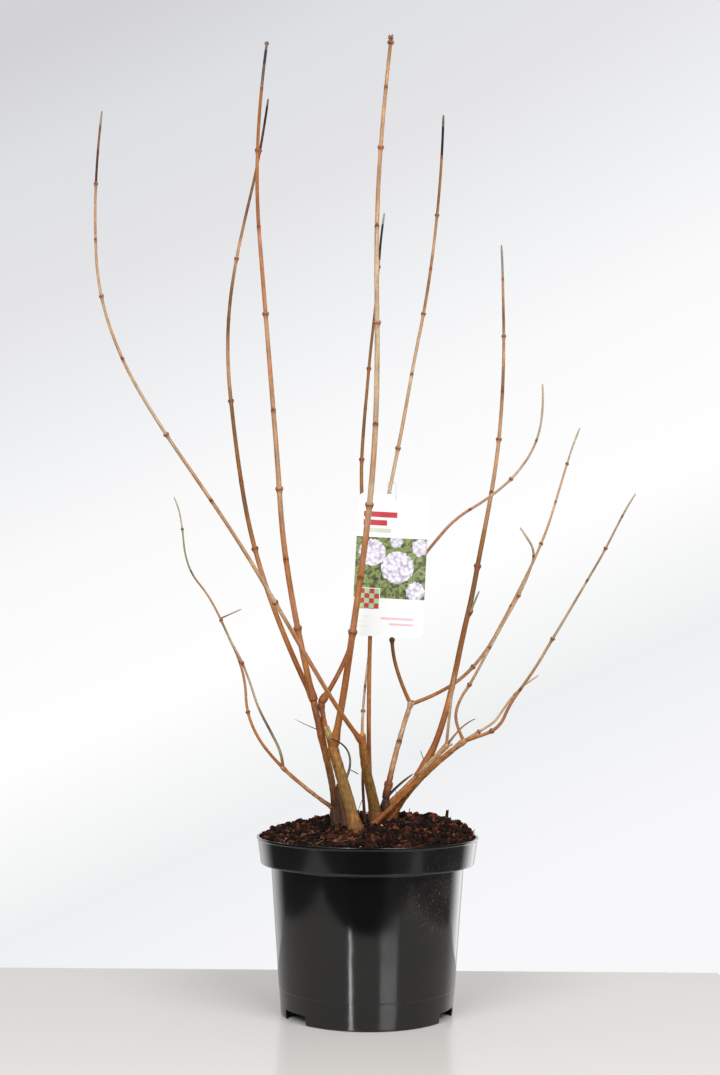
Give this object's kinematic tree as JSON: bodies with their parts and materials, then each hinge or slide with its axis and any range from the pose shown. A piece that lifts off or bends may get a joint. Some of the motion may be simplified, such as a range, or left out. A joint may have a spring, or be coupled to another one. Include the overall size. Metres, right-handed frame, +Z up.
{
  "type": "potted snowball viburnum",
  "caption": "Leafless flowering shrub with several slim canes rising from a low woody crown, standing in a round nursery pot, with a plain hang card on one cane.",
  "frame": {"origin": "middle of the pot's flat underside, on the pot's axis", "axes": "+Z up, -Y towards the front of the shrub, +X to its right as seen from the front"},
  "size_m": [0.7045, 0.5077, 1.4221],
  "materials": {
    "trunk_bark": "olive-brown bark, finely fissured, soil-stained at the foot",
    "limb_bark": "rust-brown bark, matt",
    "cane_bark": "smooth tan young bark with darker bud rings",
    "twig_bark": "thin budded wood, tan to maroon",
    "pot": "black injection-moulded plastic, glossy",
    "potting_mix": "loose dark peat with bark chips",
    "card": "printed white plastic sheet",
    "tie": "thin clear cord"
  },
  "bodies": {
    "root": {"trunk_left": "trunk_bark", "trunk_centre": "trunk_bark", "crown_left": "trunk_bark", "crown_right": "trunk_bark", "trunk_left_rear": "trunk_bark", "old_stump_left": "limb_bark", "limb_right_front": "limb_bark", "limb_right_inner": "limb_bark", "limb_right_pale": "limb_bark", "limb_low_left": "limb_bark", "crossing_limb": "limb_bark", "cut_stub_left": "limb_bark", "cane_tall_front": "cane_bark", "cane_tall_left": "cane_bark", "cane_arched_left": "cane_bark", "cane_outer_left": "cane_bark", "cane_slim_centre": "cane_bark", "cane_behind_card": "cane_bark", "cane_inner_right": "cane_bark", "cane_rear_right": "cane_bark", "cane_main_right": "cane_bark", "cane_front_right": "cane_bark", "cane_outer_right": "cane_bark", "cane_low_left_rear": "cane_bark", "spray_tall_front": "twig_bark", "spray_tall_left": "twig_bark", "spray_arched_left": "twig_bark", "spray_outer_left": "twig_bark", "spray_slim_centre": "twig_bark", "spray_behind_card": "twig_bark", "spray_inner_right": "twig_bark", "spray_rear_right": "twig_bark", "spray_main_right": "twig_bark", "spray_front_right": "twig_bark", "spray_outer_right": "twig_bark", "spray_low_left_rear": "twig_bark", "spray_short_right": "twig_bark", "spray_low_right": "twig_bark", "spray_low_left_front": "twig_bark", "spray_beside_card": "twig_bark", "twig_dark_right": "twig_bark", "twig_beside_trunk": "twig_bark", "twig_curled": "twig_bark", "twig_fine_right": "twig_bark", "twig_fine_left": "twig_bark", "pot": "pot", "potting_mix": "potting_mix", "hang_card": "card", "card_tie": "tie"}
  },
  "joints": []
}
